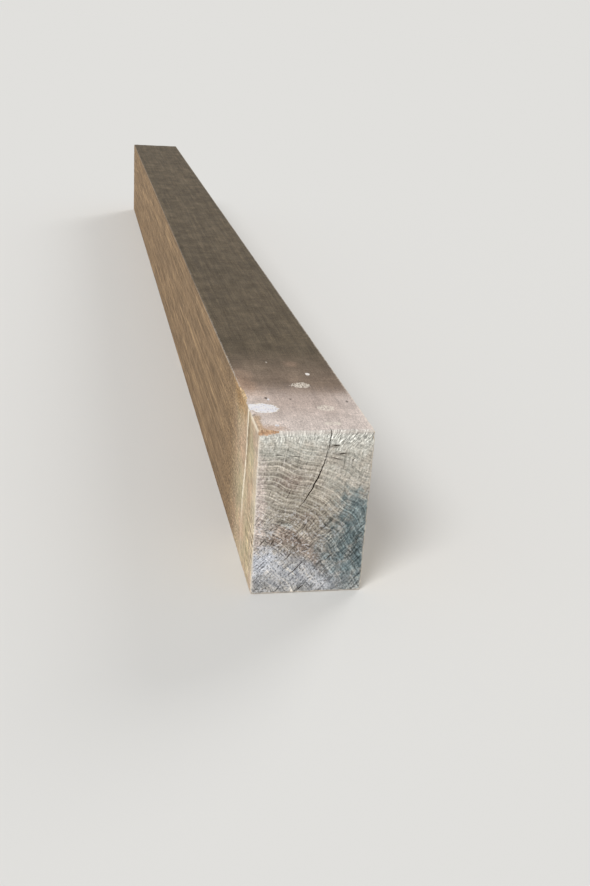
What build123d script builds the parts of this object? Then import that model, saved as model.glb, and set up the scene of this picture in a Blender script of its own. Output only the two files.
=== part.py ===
"""A sawn oak beam, air-dried, with one weathered end.

The beam is one stick of solid wood. It lies on one narrow face with its length along Y, its width
along X and its height along Z. The origin is at the middle of the bottom face. The weathered end
faces -Y and the plain end faces +Y. All sizes are in millimetres.
"""

import os

from build123d import *

# The sawn stick
width = 98.0
height = 150.0
length = 1800.0

# Worn edges: the four long arrises, the arrises round both ends, and the top one of the weathered end
long_arris_radius = 1.0
end_arris_radius = 1.5
weathered_arris_radius = 3.0

# The drying check runs from the top of the weathered end down to its foot. Its head and foot are given
# from the middle of the width, and its two sides bow out to the right by check_bow.
check_head_from_middle = 11.6
check_foot_from_middle = -14.0
check_drop = 72.5
check_bow = 6.3

# The check's mouth at its widest, how deep it runs, and how much of its size is left at that depth
check_mouth = 1.2
check_depth = 60.0
check_taper = 0.35

# The check is drawn this far past the top face, so that it opens there too
check_overrun = 4.0

# The splinter torn out of the weathered end's top left corner: how far it runs along X, Y and Z
torn_across = 24.0
torn_back = 8.0
torn_down = 4.0

# The bruise on the top left long arris, behind the weathered end
bruise_start = 66.0
bruise_length = 48.0
bruise_depth = 2.4

# Places that follow from the sizes above
half_width = width / 2
weathered_end = -length / 2
torn_corner = Vector(-half_width, weathered_end, height)


def check_outline(shrink):
    """The check's head, its two sides at the bow and its foot, drawn in towards the bow by shrink."""
    head = Vector(check_head_from_middle, height + check_overrun)
    foot = Vector(check_foot_from_middle, height - check_drop)
    across = (head - foot).rotate(Axis.Z, -90).normalized()
    bow = (head + foot) / 2 + across * check_bow
    half_mouth = across * (check_mouth / 2 * shrink)
    return bow + (head - bow) * shrink, bow + half_mouth, bow - half_mouth, bow + (foot - bow) * shrink


with BuildPart() as oak_beam:
    # The side outline, with the arrises of both ends rounded, sawn to the beam's width. Inside the
    # sketch X runs along the beam and Y runs up it.
    with BuildSketch(Plane.YZ):
        with Locations((0, height / 2)):
            Rectangle(length, height)
        weathered_corner = vertices().group_by(Axis.Y)[-1].sort_by(Axis.X)[0]
        fillet(weathered_corner, radius=weathered_arris_radius)
        lower_corners = vertices().group_by(Axis.Y)[0]
        plain_corner = vertices().group_by(Axis.Y)[-1].sort_by(Axis.X)[-1]
        fillet([plain_corner, *lower_corners], radius=end_arris_radius)
    extrude(amount=half_width, both=True)

    # The edges of the two side faces are worn all the way round
    side_faces = faces().filter_by(Axis.X)
    fillet(side_faces.edges(), radius=long_arris_radius)

    # The drying check narrows as it runs into the wood
    for inward, shrink in ((0, 1), (check_depth, check_taper)):
        head, right_side, left_side, foot = check_outline(shrink)
        with BuildSketch(Plane.XZ.offset(-weathered_end - inward)):
            with BuildLine():
                ThreePointArc(head, right_side, foot)
                ThreePointArc(foot, left_side, head)
            make_face()
    loft(mode=Mode.SUBTRACT)

    # The torn corner is a flat facet across the three faces that meet there
    torn_normal = Vector(-1 / torn_across, -1 / torn_back, 1 / torn_down)
    torn_foot = torn_corner - Vector(0, 0, torn_down)
    split(bisect_by=Plane(torn_foot, z_dir=torn_normal), keep=Keep.BOTTOM)

    # The bruise is a scoop of round section, cut across the arris at 45 degrees. Its radius is the one
    # that a chord of bruise_length gives at bruise_depth.
    scoop_radius = (bruise_length**2 / 4 + bruise_depth**2) / (2 * bruise_depth)
    out_of_arris = Vector(-1, 0, 1).normalized()
    across_arris = Vector(1, 0, 1).normalized()
    bruise_middle = torn_corner + Vector(0, bruise_start + bruise_length / 2, 0)
    scoop_centre = bruise_middle + out_of_arris * (scoop_radius - bruise_depth)
    with BuildSketch(Plane(scoop_centre, x_dir=(0, 1, 0), z_dir=across_arris)):
        Circle(scoop_radius)
    extrude(amount=2 * bruise_depth, both=True, mode=Mode.SUBTRACT)

oak_beam.part.label = "oak_beam"

os.makedirs("parts", exist_ok=True)
export_step(oak_beam.part, "parts/oak_beam.step")
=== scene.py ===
"""Dresses the oak beam: a weathered stick of sawn oak on a pale floor, with its lamps and camera.

The beam lies along Y with its weathered end at -Y. Objects are in metres. The mesh code and the
patterns of the materials work in millimetres, in the same place as the finished beam.
"""

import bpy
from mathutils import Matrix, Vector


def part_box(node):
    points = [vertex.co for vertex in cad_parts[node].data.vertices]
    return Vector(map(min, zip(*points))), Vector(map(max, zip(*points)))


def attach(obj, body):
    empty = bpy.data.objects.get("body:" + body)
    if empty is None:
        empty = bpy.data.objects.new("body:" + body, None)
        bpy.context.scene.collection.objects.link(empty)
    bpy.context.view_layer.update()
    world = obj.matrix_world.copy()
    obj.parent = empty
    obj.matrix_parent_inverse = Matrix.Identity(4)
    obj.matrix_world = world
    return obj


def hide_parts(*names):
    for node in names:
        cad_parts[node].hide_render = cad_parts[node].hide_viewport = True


bl_info = {
    "name": "Weathered Oak Beam",
    "version": (1, 0, 0),
    "blender": (4, 5, 0),
    "location": "View3D > Sidebar > Oak Beam",
    "description": "Makes a sawn oak beam with a weathered, checked end",
    "category": "Add Mesh",
}

import math
from functools import cached_property
from types import SimpleNamespace

import bmesh
import bpy
from mathutils import Matrix, Vector, noise

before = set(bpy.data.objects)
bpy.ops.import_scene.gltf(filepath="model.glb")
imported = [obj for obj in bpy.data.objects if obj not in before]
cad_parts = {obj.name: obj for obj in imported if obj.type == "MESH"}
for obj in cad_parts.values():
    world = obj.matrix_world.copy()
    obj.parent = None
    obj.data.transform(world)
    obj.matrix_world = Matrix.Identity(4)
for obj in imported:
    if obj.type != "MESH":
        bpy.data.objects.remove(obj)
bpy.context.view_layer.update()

NODE = "oak_beam"
MM = 0.001
low_corner, high_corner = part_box(NODE)

# The order of the materials on the beam
WEATHERED_END, WEATHERED_TOP, SAWN_SIDE, PLAIN_END, SPLIT_WOOD, TORN_WOOD = range(6)


def linear(red, green, blue):
    """A colour, given from 0 to 255, as the linear light that Blender works in.

    The numbers are those of the sRGB standard.
    """
    def channel(value):
        share = value / 255
        return share / 12.92 if share <= 0.04045 else ((share + 0.055) / 1.055) ** 2.4
    return channel(red), channel(green), channel(blue)


def length_setting(name, description, millimetres):
    """A size in the sidebar, given here in millimetres."""
    return bpy.props.FloatProperty(
        name=name, description=description, default=millimetres * MM, unit="LENGTH", precision=4)


def colour_setting(name, description, red, green, blue):
    """A colour in the sidebar, given here from 0 to 255."""
    return bpy.props.FloatVectorProperty(
        name=name, description=description, default=linear(red, green, blue), subtype="COLOR", size=3,
        min=0.0, max=1.0)


def strength_setting(name, description, strength):
    """The strength of a light, in the sidebar."""
    return bpy.props.FloatProperty(name=name, description=description, default=strength, min=0.0)


def angle_setting(name, description, degrees):
    """An angle in the sidebar, given here in degrees."""
    return bpy.props.FloatProperty(
        name=name, description=description, default=math.radians(degrees), subtype="ANGLE")


class BeamSizes(bpy.types.PropertyGroup):
    """Sizes of the beam and of what sawing, drying and weather have left on it."""

    width: length_setting("Width", "Across the beam", (high_corner.x - low_corner.x) / MM)
    height: length_setting("Height", "From the bottom face to the top face", high_corner.z / MM)
    length: length_setting("Length", "Along the beam", (high_corner.y - low_corner.y) / MM)
    arris: length_setting("Arris", "Radius of the worn edges", 1.5)
    top_arris: length_setting("Top arris", "Radius of the weathered end's top edge", 3.2)
    ring_width: length_setting("Ring width", "One year's growth", 4.25)
    check_mouth: length_setting("Check mouth", "Width of the main drying check", 1.2)
    check_depth: length_setting("Check depth", "How far the main check runs into the wood", 60.0)
    torn_across: length_setting("Torn corner across", "The torn corner along the top edge", 24.0)
    torn_back: length_setting("Torn corner back", "The torn corner along the beam", 8.0)
    torn_down: length_setting("Torn corner down", "The torn corner down the end", 4.0)
    bruise_start: length_setting("Bruise start", "From the weathered end to the bruise", 66.0)
    bruise_length: length_setting("Bruise length", "The bruise along the arris", 48.0)
    bruise_depth: length_setting("Bruise depth", "How deep the bruise is", 2.4)
    frayed_band: length_setting("Frayed band", "Height of the torn fibres at the end's top", 12.0)
    weather_reach: length_setting("Weather reach", "How far back the top is bleached", 93.0)


class BeamColours(bpy.types.PropertyGroup):
    """Colours of the beam's finishes."""

    silver: colour_setting("Silver grain", "Weathered end grain", 188, 179, 167)
    late: colour_setting("Late wood", "Pale lines of late wood in the weathered end", 212, 207, 192)
    shaded: colour_setting("Shaded grain", "The greyer middle of the end", 159, 150, 136)
    damp: colour_setting("Damp stain", "Blue-grey stain on the right of the end", 111, 127, 130)
    flecks: colour_setting("Flecks", "Pale flecks all over the end grain", 212, 212, 215)
    frosted: colour_setting("Frosted grain", "Pale grain at the foot of the end", 212, 215, 223)
    ruddy: colour_setting("Ruddy band", "Brown heartwood band across the end", 158, 142, 130)
    washed: colour_setting("Washed grain", "Greenish grain under the frayed band", 200, 197, 186)
    blushed: colour_setting("Blushed grain", "Pinkish grain at the left of the end", 212, 197, 188)
    hoary: colour_setting("Hoary grain", "Neutral grey grain along the foot of the end", 171, 171, 171)
    fray: colour_setting("Frayed fibres", "Torn fibres bleached white", 230, 229, 220)
    # Pale worn wood on the arrises, which also stands for a painted highlight along them
    pale_wear_and_highlight: colour_setting("Worn edge", "Pale wood on the arrises", 232, 222, 208)
    bleached: colour_setting("Bleached top", "The top at the weathered end", 206, 193, 185)
    greyed: colour_setting("Greyed top", "The top further back, still in the weather", 184, 167, 157)
    sheltered: colour_setting("Sheltered top", "The top behind the bleached part", 126, 109, 94)
    # The top furthest back: browner wood with painted shade over it
    brown_and_painted_shade: colour_setting("Shadowed top", "The top that stayed under cover", 87, 76, 60)
    buff: colour_setting("Buff side", "The sawn sides near the weathered end", 210, 190, 160)
    rosy: colour_setting("Rosy side", "Pinkish drifts in the sawn sides", 204, 172, 147)
    olive: colour_setting("Olive side", "Greenish drifts in the sawn sides", 196, 186, 152)
    # The ochre also tints the painted shade in the hollow in front of the lip
    ochre_streaks_and_shade: colour_setting("Ochre streaks", "Yellow-brown streaks in the sawn sides", 178, 148, 110)
    flushed: colour_setting("Flushed top", "Reddish wood on the top beside the bruise", 172, 143, 121)
    golden: colour_setting("Golden side", "The left side below the bruise", 174, 140, 99)
    # Tan wood further back on the sides, darkened with painted shade
    tan: colour_setting("Tan side", "The sawn sides further back", 148, 123, 94)
    # The bright lip is a painted highlight on the raised lip
    lip: colour_setting("Saw lip", "The bright lip on the left side", 255, 244, 222)
    fresh: colour_setting("Fresh wood", "Wood bared by a tear", 180, 143, 112)
    bared: colour_setting("Bared wood", "Paler wood among the fresh wood", 200, 172, 142)
    bruised: colour_setting("Bruised wood", "Golden wood bared by a knock", 200, 172, 134)
    cut: colour_setting("Plain end", "End grain of the plain end", 176, 143, 104)
    split: colour_setting("Split wood", "The mouth of a check", 96, 82, 66)
    # Dark colour that paints the shade deep in the checks and in the holes
    deep: colour_setting("Deep wood", "The inside of a check or a hole", 44, 35, 28)
    dropping: colour_setting("Droppings", "White spots on the top", 236, 233, 232)
    thin_dropping: colour_setting("Thin droppings", "Where the white spots are thin", 214, 214, 230)


class StageSettings(bpy.types.PropertyGroup):
    """The floor, the light and the camera."""

    floor_size: length_setting("Floor size", "Side of the square floor", 60000.0)
    floor_colour: colour_setting("Floor", "Colour of the floor", 222, 221, 218)
    sky: strength_setting("Sky", "Strength of the even light", 0.45)
    key: strength_setting("Key", "Strength of the soft sun in front, on the left", 1.9)
    fill: strength_setting("Fill", "Strength of the soft sun behind, on the right", 0.9)
    lens: bpy.props.FloatProperty(
        name="Lens", description="Focal length on a 36 mm sensor", default=43.27, unit="CAMERA")
    camera_left: length_setting("Camera left", "Left of the beam's middle", 193.0)
    camera_front: length_setting("Camera front", "In front of the weathered end", 780.0)
    camera_up: length_setting("Camera up", "Above the floor", 464.5)
    turn: angle_setting("Turn", "How far the camera turns right", 12.6)
    tip: angle_setting("Tip", "How far the camera looks down", 22.1)
    lean: angle_setting("Lean", "How far the camera leans left", 3.99)


def setting_names(settings):
    """The names of the settings in a property group."""
    return [name for name in settings.bl_rna.properties.keys() if name not in ("rna_type", "name")]


def values_of(settings, convert):
    """Every setting of a property group, by name, after convert has been applied to it."""
    return SimpleNamespace(**{name: convert(getattr(settings, name)) for name in setting_names(settings)})


# The mesh of the beam

# How far apart the stick's faces are cut at the weathered end, how many of these cells there are before
# they get twice as long, and before they get four times as long
CELL = 6.0
SHORT_CELLS = 20
MIDDLE_CELLS = 50

# How many cells behind the end have their edges halved a second time, and a third time
HALVED_TWICE = 11.5
HALVED_THRICE = 1.6

# Edges up to this length are never halved, which leaves those across the rounded arrises alone
SHORTEST_HALVED = 1.2

# A face has the finish of the side that it faces by this share, and a point is moved by the relief of each
# side that it faces by the smaller one
FACES_FULLY = 0.7
FACES_BARELY = 0.05

# How much further than they are sawn the arrises are worn: all of them, where they are chipped and where
# they are bitten. The chips stop this far behind the weathered end.
ALL_WORN = 0.4
CHIPPED_MORE = 2.2
BITTEN_MORE = 4.5
CHIPS_REACH = 130.0


def ramp(value, start, end):
    """0 at start and 1 at end, with a soft turn at both."""
    share = min(1.0, max(0.0, (value - start) / (end - start)))
    return share * share * (3 - 2 * share)


# The growth rings

# The heart of the tree lies outside the beam, at its lower left. The rings lie nearly level in the upper
# part of the end and steep in the lower part, and they turn from one into the other round a knee, given
# across and up from the middle of the bottom face. The rings are a little closer above it.
LEVEL_SLOPE = math.radians(10.0)
STEEP_SLOPE = math.radians(58.0)
KNEE_ACROSS = 1.0
KNEE_UP = 81.0
KNEE_SOFT = 14.0
STEEP_CLOSENESS = 0.80

# The rays stand upright at the top and lean lower down: from what height, how softly and how far
RAYS_LEAN_BELOW = 100.0
RAYS_LEAN_SOFT = 38.0
RAYS_LEAN = 0.95

# The rings are fluted by two sets of waves: how long they are, how deep, and where they start. The flutes
# push a ring up, and by the second share across.
FLUTES = ((45.0, 1.35, 0.95), (30.0, 0.70, 2.42))
FLUTES_UP = 0.85
FLUTES_ACROSS = 0.5

# The flutes are shallower near the foot of the beam: the height where they are full and their share below
FLUTES_FULL_UP = 100.0
FLUTES_LOW_SHARE = 0.35

# Which part of a year the ring at the knee is in
KNEE_YEAR = 0.66


def ring_places(across, up, sine, root, flute_share):
    """How far a place lies along the rings and outwards through them, in millimetres.

    The same sum serves the mesh, with plain numbers, and the materials, with Values. It is given the sine
    and the square root that work on them.
    """
    below = RAYS_LEAN_BELOW - up
    along = across + (below + root(below * below + RAYS_LEAN_SOFT**2)) * (RAYS_LEAN / 2)
    flute = 0.0
    for long, deep, start in FLUTES:
        flute = flute + sine(along * (math.tau / long) + start) * deep
    flute = flute * flute_share
    x = across - KNEE_ACROSS + flute * FLUTES_ACROSS
    z = up - KNEE_UP + flute * FLUTES_UP
    level = x * math.sin(LEVEL_SLOPE) + z * math.cos(LEVEL_SLOPE)
    steep = (x * math.sin(STEEP_SLOPE) + z * math.cos(STEEP_SLOPE)) * STEEP_CLOSENESS
    half = (level - steep) / 2
    outwards = (level + steep) / 2 + root(half * half + KNEE_SOFT**2)
    return along, outwards


def ring_year(across, up, ring_width):
    """Which year this place grew in, as a number with a fraction."""
    share = FLUTES_LOW_SHARE + (1 - FLUTES_LOW_SHARE) * ramp(up, 0, FLUTES_FULL_UP)
    return ring_places(across, up, math.sin, math.sqrt, share)[1] / ring_width + KNEE_YEAR


def roughness(place, across, along, up):
    """Smooth noise from -1 to 1, whose lumps are so many millimetres long each way."""
    return noise.noise(Vector((place.x / across, place.y / along, place.z / up)))


def slice_up(bm, axis, places):
    """Cuts edge loops square to the axis at each place."""
    for place in places:
        bmesh.ops.bisect_plane(
            bm, geom=bm.verts[:] + bm.edges[:] + bm.faces[:], dist=1e-4, plane_co=axis * place, plane_no=axis)


def spread(start, end, step):
    """Evenly spaced places between start and end, both left out, about one step apart."""
    count = max(1, round((end - start) / step))
    return [start + (end - start) * n / count for n in range(1, count)]


def refine(bm, wanted):
    """Halves the edges in the wanted region, apart from the shortest."""
    edges = [edge for edge in bm.edges
             if edge.calc_length() > SHORTEST_HALVED and all(wanted(vert.co) for vert in edge.verts)]
    bmesh.ops.subdivide_edges(bm, edges=edges, cuts=1, use_grid_fill=True)


def sawn_stick(size):
    """A box with rounded arrises, sliced finely at the weathered end and coarsely along the beam."""
    bm = bmesh.new()
    bmesh.ops.create_cube(bm, size=1)
    bmesh.ops.scale(bm, vec=(size.width, size.length, size.height), verts=bm.verts)
    bmesh.ops.translate(bm, vec=(0, 0, size.height / 2), verts=bm.verts)
    bmesh.ops.bevel(
        bm, geom=bm.edges[:], offset=size.arris, offset_type="OFFSET", segments=3, profile=0.5,
        affect="EDGES", material=-1)

    end = -size.length / 2
    half = size.width / 2 - size.arris
    slice_up(bm, Vector((1, 0, 0)), spread(-half, half, CELL))
    slice_up(bm, Vector((0, 0, 1)), spread(size.arris, size.height - size.arris, CELL))
    near = end + SHORT_CELLS * CELL
    middle = end + MIDDLE_CELLS * CELL
    along = spread(end + size.arris, near, CELL) + spread(near, middle, 2 * CELL)
    along += spread(middle, -end - size.arris, 4 * CELL) + [near, middle]
    slice_up(bm, Vector((0, 1, 0)), sorted(along))

    bruise_end = end + size.bruise_start + size.bruise_length + CELL
    corner = Vector((-size.width / 2, 0, size.height))
    refine(bm, lambda co: co.y < middle)
    refine(bm, lambda co: co.y < end + HALVED_TWICE * CELL or (
        co.y < bruise_end and co.x < corner.x + 2 * CELL and co.z > corner.z - 2 * CELL))
    refine(bm, lambda co: co.y < end + HALVED_THRICE * CELL)
    bmesh.ops.recalc_face_normals(bm, faces=bm.faces)
    return bm


def name_finishes(bm):
    """Gives each face the finish of the side of the beam that it belongs to."""
    for face in bm.faces:
        if face.normal.y < -FACES_FULLY:
            face.material_index = WEATHERED_END
        elif face.normal.y > FACES_FULLY:
            face.material_index = PLAIN_END
        elif face.normal.z > FACES_FULLY:
            face.material_index = WEATHERED_TOP
        else:
            face.material_index = SAWN_SIDE


def wear_arris(place, size):
    """Rounds the stick's arrises further where they are worn, and most round the end's top left corner."""
    behind = place.y + size.length / 2
    from_top = size.height - place.z
    from_left = place.x + size.width / 2
    from_right = size.width / 2 - place.x
    at_top_of_end = ramp(from_top, 9, 4) * ramp(behind, 9, 4)
    at_left = ramp(from_top, 10, 5) * ramp(from_left, 10, 5) * ramp(behind, 54, 38)
    at_right = ramp(from_right, 12, 6) * ramp(from_top, 52, 40) * ramp(behind, 14, 4)
    chipped = max(0.0, roughness(place, 5, 9, 5)) * CHIPPED_MORE * ramp(behind, CHIPS_REACH, 0)
    bitten = max(0.0, roughness(place, 3.6, 9, 3.6) - 0.05) * BITTEN_MORE * at_right
    rounder = (size.top_arris - size.arris) * max(at_top_of_end, at_left)
    radius = size.arris + ALL_WORN + chipped + bitten + rounder
    inner = Vector((
        max(radius - size.width / 2, min(size.width / 2 - radius, place.x)),
        max(radius - size.length / 2, min(size.length / 2 - radius, place.y)),
        max(radius, min(size.height - radius, place.z))))
    out = place - inner
    return inner + out.normalized() * radius if out.length > radius else place


# The relief of each side is how far its points stand out, in millimetres. Each is set back a little, so
# that its highest places lie about where the beam was sawn.

# The pale late wood is the last part of each year: where in the year its middle is and how far it reaches,
# how far it stands proud, and how far the weather has worn the end back between
LATE_WOOD_AT = 0.84
LATE_WOOD_REACH = 0.22
LATE_WOOD_PROUD = 0.22
END_WORN_BACK = 0.40

# The torn fibres lean, and are coarser on the right: how far across they go for each millimetre up at the
# left and at the right, and where one turns into the other, across from the middle
FRAY_LEAN_LEFT = 0.10
FRAY_LEAN_RIGHT = 0.65
FRAY_TURNS_FROM = -25.0
FRAY_TURNS_TO = 30.0


def end_relief(place, size):
    """Late wood stands proud of the weathered end, and the fibres at its top are torn."""
    from_late = abs(ring_year(place.x, place.z, size.ring_width) % 1 - LATE_WOOD_AT)
    late = ramp(from_late, LATE_WOOD_REACH, 0.04)
    hollow = roughness(place, 30, 30, 30) * 0.25
    weathered = LATE_WOOD_PROUD * late - END_WORN_BACK + hollow + 0.20 * roughness(place, 2.2, 9, 2.2)

    below = size.height - place.z
    coarse = ramp(place.x, FRAY_TURNS_FROM, FRAY_TURNS_TO)
    band = size.frayed_band * (0.8 + 0.5 * coarse) + 3 * roughness(place, 7, 20, 200)
    frayed = ramp(below, band + 2, band - 4)
    lean = FRAY_LEAN_LEFT + (FRAY_LEAN_RIGHT - FRAY_LEAN_LEFT) * coarse
    unslanted = Vector((place.x + lean * below, 3, place.z))
    fine = roughness(unslanted, 1.25, 5, 6)
    bold = roughness(unslanted, 1.8, 5, 3.2)
    fibres = (1 - coarse) * fine * 0.7 + coarse * bold * 1.1
    return weathered * (1 - 0.6 * frayed) + frayed * (fibres - 0.35)


def top_relief(place, size):
    """Rain has opened the grain of the top, most near the weathered end."""
    behind = place.y + size.length / 2
    grooves = roughness(place, 3.2, 70, 9) * 0.22 + roughness(place, 11, 160, 9) * 0.25
    return grooves - 0.3 - 0.25 * ramp(behind, 30, 0)


# The upright marks of the saw on the sides: how far apart they are, how deep, and how far they lean for
# each millimetre up
SAW_MARKS = 9.5
SAW_MARKS_DEEP = 0.13
SAW_SLANT = 0.07

# On the left side the cut was taken up again: how far behind the end the lip is at the top, how much
# further back it is lower down, the heights between which it falls back, how far it stands proud, and
# how far the wood behind it is set back
LIP_AT = 54.0
LIP_FALL = 9.0
LIP_FALLS_FROM = 108.0
LIP_FALLS_TO = 58.0
LIP_PROUD = 0.75
BEHIND_LIP = 0.35


def side_relief(place, size):
    """The saw left upright marks on the sides, and a raised lip where the cut was taken up again."""
    behind = place.y + size.length / 2
    slanted = behind + SAW_SLANT * place.z
    wave = math.sin(slanted * math.tau / SAW_MARKS)
    marks = SAW_MARKS_DEEP * wave * (0.6 + 0.6 * roughness(place, 60, 60, 60))
    lip_at = LIP_AT + LIP_FALL * ramp(place.z, LIP_FALLS_FROM, LIP_FALLS_TO)
    on_left = 1.0 if place.x < 0 else 0.0
    lip = LIP_PROUD * on_left * ramp(place.z, 5, 40) * ramp(abs(behind - lip_at), 1.6, 0.2)
    behind_lip = -BEHIND_LIP * on_left * ramp(behind, lip_at, lip_at + 3) * ramp(behind, 230, 120)
    grain = roughness(place, 9, 90, 5) * 0.16
    return marks + lip + behind_lip + grain - 0.35


# The round blade that cut the plain end left arcs: how far apart they are and how deep, and how many
# widths of the beam away the blade's middle was
ARCS_APART = 4.2
ARCS_DEEP = 0.08
BLADE_AWAY = 3


def plain_relief(place, size):
    """A round blade left faint arcs on the plain end."""
    sweep = math.hypot(place.x - BLADE_AWAY * size.width, place.z - size.height)
    return ARCS_DEEP * math.sin(sweep * math.tau / ARCS_APART) - 0.15


# The underside is worn evenly by this much
UNDERSIDE_WORN = 0.05


def weather_surface(bm, size):
    """Moves each point of the stick in or out by the relief of the sides that it belongs to."""
    bm.normal_update()
    for vert in bm.verts:
        place, facing = vert.co.copy(), vert.normal.copy()
        lift = 0.0
        if facing.y < -FACES_BARELY:
            lift += facing.y**2 * end_relief(place, size)
        if facing.y > FACES_BARELY:
            lift += facing.y**2 * plain_relief(place, size)
        if facing.z > FACES_BARELY:
            lift += facing.z**2 * top_relief(place, size)
        if facing.z < -FACES_BARELY:
            lift += facing.z**2 * -UNDERSIDE_WORN
        if abs(facing.x) > FACES_BARELY:
            lift += facing.x**2 * side_relief(place, size)
        vert.co = wear_arris(place, size) + facing * lift


def tear_corner(bm, size):
    """Cuts the torn corner back to a splintered facet, and names the wood that it bares."""
    corner = Vector((-size.width / 2, -size.length / 2, size.height))
    facing = Vector((-1 / size.torn_across, -1 / size.torn_back, 1 / size.torn_down)).normalized()
    foot = corner - Vector((0, 0, size.torn_down))
    for vert in bm.verts:
        splinter = 0.5 * roughness(vert.co, 1.4, 3, 2.4) + 0.4 * roughness(vert.co, 4, 9, 4)
        above = (vert.co - foot).dot(facing) - splinter
        if above > 0:
            vert.co -= facing * above

    lowest_splinter = -0.75
    margin = 2
    for face in bm.faces:
        centre = face.calc_center_median()
        on_facet = (centre - foot).dot(facing) > lowest_splinter
        if on_facet and (centre - corner).length < size.torn_across + margin:
            face.material_index = TORN_WOOD


def bruise_arris(bm, size):
    """Presses the bruise into the top left arris, and names the wood that it bares."""
    out = Vector((-1, 0, 1)).normalized()
    middle = Vector((
        -size.width / 2, -size.length / 2 + size.bruise_start + size.bruise_length / 2, size.height))
    radius = (size.bruise_length**2 / 4 + size.bruise_depth**2) / (2 * size.bruise_depth)
    centre = middle + out * (radius - size.bruise_depth)
    for vert in bm.verts:
        from_centre = vert.co - centre
        along, above = from_centre.y, from_centre.dot(out)
        reach = math.hypot(along, above)
        rough = 0.25 * roughness(vert.co, 5, 16, 5)
        if reach < radius + rough and (vert.co - middle).length < size.bruise_length:
            push = (radius + rough - reach) / reach
            vert.co += Vector((0, along * push, 0)) + out * (above * push)

    highest_lump = 0.3
    bared = size.bruise_length * 0.6
    for face in bm.faces:
        from_centre = face.calc_center_median() - centre
        reach = math.hypot(from_centre.y, from_centre.dot(out))
        if reach < radius + highest_lump and (face.calc_center_median() - middle).length < bared:
            face.material_index = TORN_WOOD


# The drying checks

# The main check's head and foot from the middle of the width, how far down it runs, how far it bows out to
# the right, and how far past the top face it is drawn, so that it opens there too
CHECK_HEAD_FROM_MIDDLE = 11.6
CHECK_FOOT_FROM_MIDDLE = -14.0
CHECK_DROP = 72.5
CHECK_BOW = 6.3
CHECK_OVERRUN = 4.0

# A check deeper than this wanders more, and keeps more of its depth at its ends
DEEP_CHECK = 20.0


class Check:
    """One check in the weathered end, from its head to its foot, across and down from the top left.

    bow is how far it curves to the right, and low is over 1 where it is widest below its middle.
    open_head is the share of the mouth that the head is open by.
    """

    def __init__(self, head, foot, mouth, depth, bow=0.0, low=1.0, open_head=0.0):
        self.head = head
        self.foot = foot
        self.mouth = mouth
        self.depth = depth
        self.bow = bow
        self.low = low
        self.open_head = open_head


# The finer checks follow the rays: each has its head, its foot, its mouth and its depth
FINE_CHECKS = (
    Check((11.6, 95.6), (4.7, 104.5), 0.85, 14),
    Check((18.9, 96.6), (14.7, 104.9), 0.75, 12),
    Check((33.9, 110.8), (27.1, 119.2), 0.75, 14),
    Check((46.8, 115.2), (30.6, 134.3), 0.80, 18, 0.6),
    Check((45.8, 82.4), (40.3, 90.7), 0.80, 12),
    Check((48.5, 139.1), (39.9, 149.0), 0.85, 16),
    Check((64.8, 82.6), (56.8, 91.2), 0.60, 12),
    Check((67.7, 97.8), (64.9, 101.5), 0.80, 8),
    Check((71.0, 111.3), (62.8, 119.7), 0.70, 12),
    Check((95.0, 92.5), (86.0, 100.0), 0.50, 10),
    Check((25.2, 13.5), (24.7, 18.8), 0.70, 6),
    Check((24.1, 22.9), (23.9, 27.4), 0.80, 6),
    Check((14.5, 20.8), (23.0, 20.9), 0.70, 6),
    Check((25.4, 21.4), (37.8, 22.8), 0.70, 6),
    Check((60.8, 23.0), (72.6, 26.0), 0.75, 6),
    Check((13.7, 50.0), (11.2, 60.0), 0.50, 7),
    Check((31.2, 49.3), (26.1, 61.0), 0.60, 9),
    Check((61.0, 12.4), (69.5, 13.0), 1.30, 10),
    Check((65.6, 20.8), (76.4, 19.4), 1.10, 10),
    Check((83.4, 23.4), (79.5, 26.9), 0.60, 7),
    Check((30.2, 88.0), (31.0, 89.8), 1.40, 6),
    Check((45.2, 121.4), (46.6, 122.4), 1.50, 6),
    Check((41.6, 125.6), (43.0, 126.6), 1.30, 5),
    Check((22.6, 122.5), (24.2, 123.4), 1.20, 5),
    Check((38.0, 132.0), (39.6, 132.6), 1.20, 5),
    Check((78.0, 61.0), (70.5, 68.0), 0.32, 8),
)


def main_check(size):
    """The curved check that opens from the top edge."""
    middle = size.width / 2
    head = (middle + CHECK_HEAD_FROM_MIDDLE, -CHECK_OVERRUN)
    foot = (middle + CHECK_FOOT_FROM_MIDDLE, CHECK_DROP)
    return Check(head, foot, size.check_mouth, size.check_depth, bow=CHECK_BOW, low=1.5, open_head=0.7)


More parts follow.
